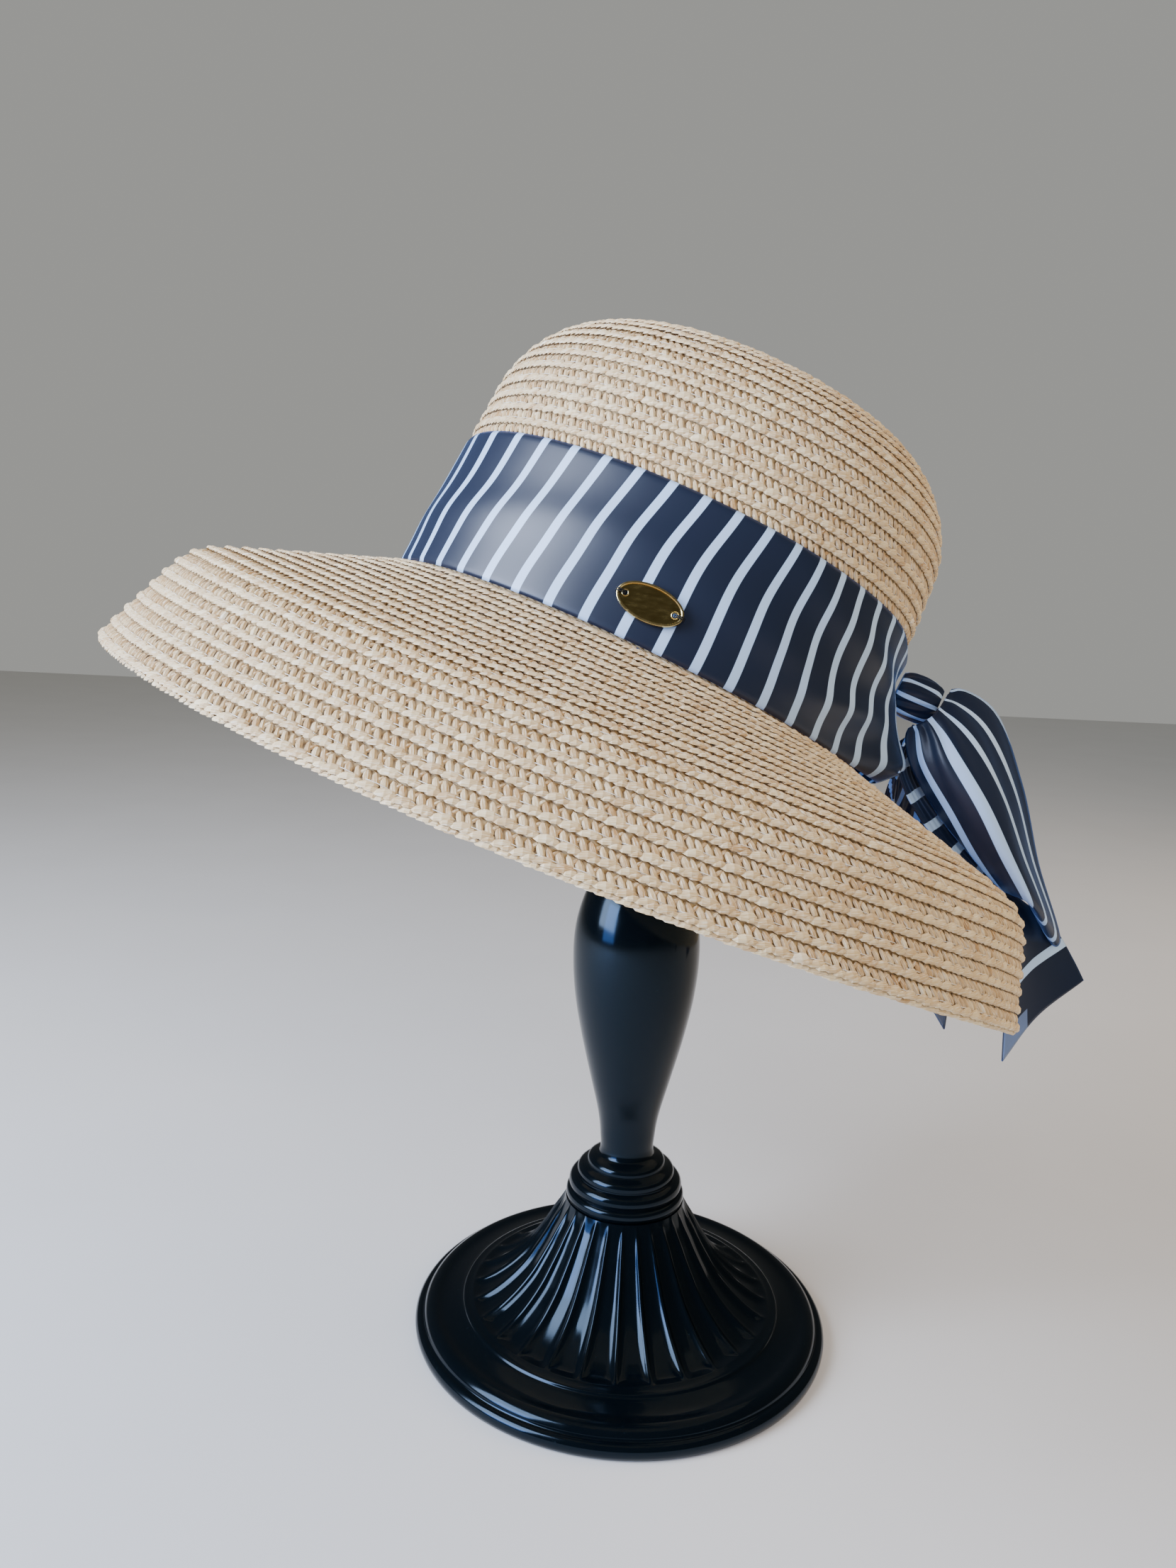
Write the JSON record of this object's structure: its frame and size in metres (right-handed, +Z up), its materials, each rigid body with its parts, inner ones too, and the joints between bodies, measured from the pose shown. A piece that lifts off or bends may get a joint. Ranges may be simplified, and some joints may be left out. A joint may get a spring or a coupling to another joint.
{
  "type": "straw sun hat on a hat stand",
  "caption": "Straw sun hat with a rounded crown, wide turned-down brim, striped satin sash with bow and a small oval plaque, leaning on a turned fluted hat stand.",
  "frame": {"origin": "centre of the stand's foot, on the surface that it stands on", "axes": "+Z up along the stand's turned column; -Y is the front, where the plaque is; the hat leans towards +X, where its bow is"},
  "size_m": [0.3756, 0.3394, 0.4237],
  "materials": {
    "straw": "sewn paper-straw braid, matte with a slight sheen on the ridges",
    "satin": "navy satin with narrow pale blue stripes",
    "brass": "polished, bare of text",
    "lacquer": "glossy black paint"
  },
  "bodies": {
    "root": {"straw_crown": "straw", "straw_brim": "straw", "ribbon_band": "satin", "bow_knot": "satin", "bow_loop_near": "satin", "bow_loop_far": "satin", "bow_tail_near": "satin", "bow_tail_far": "satin", "oval_plaque": "brass", "stand_base": "lacquer", "stand_column": "lacquer", "stand_cap": "lacquer"}
  },
  "joints": []
}
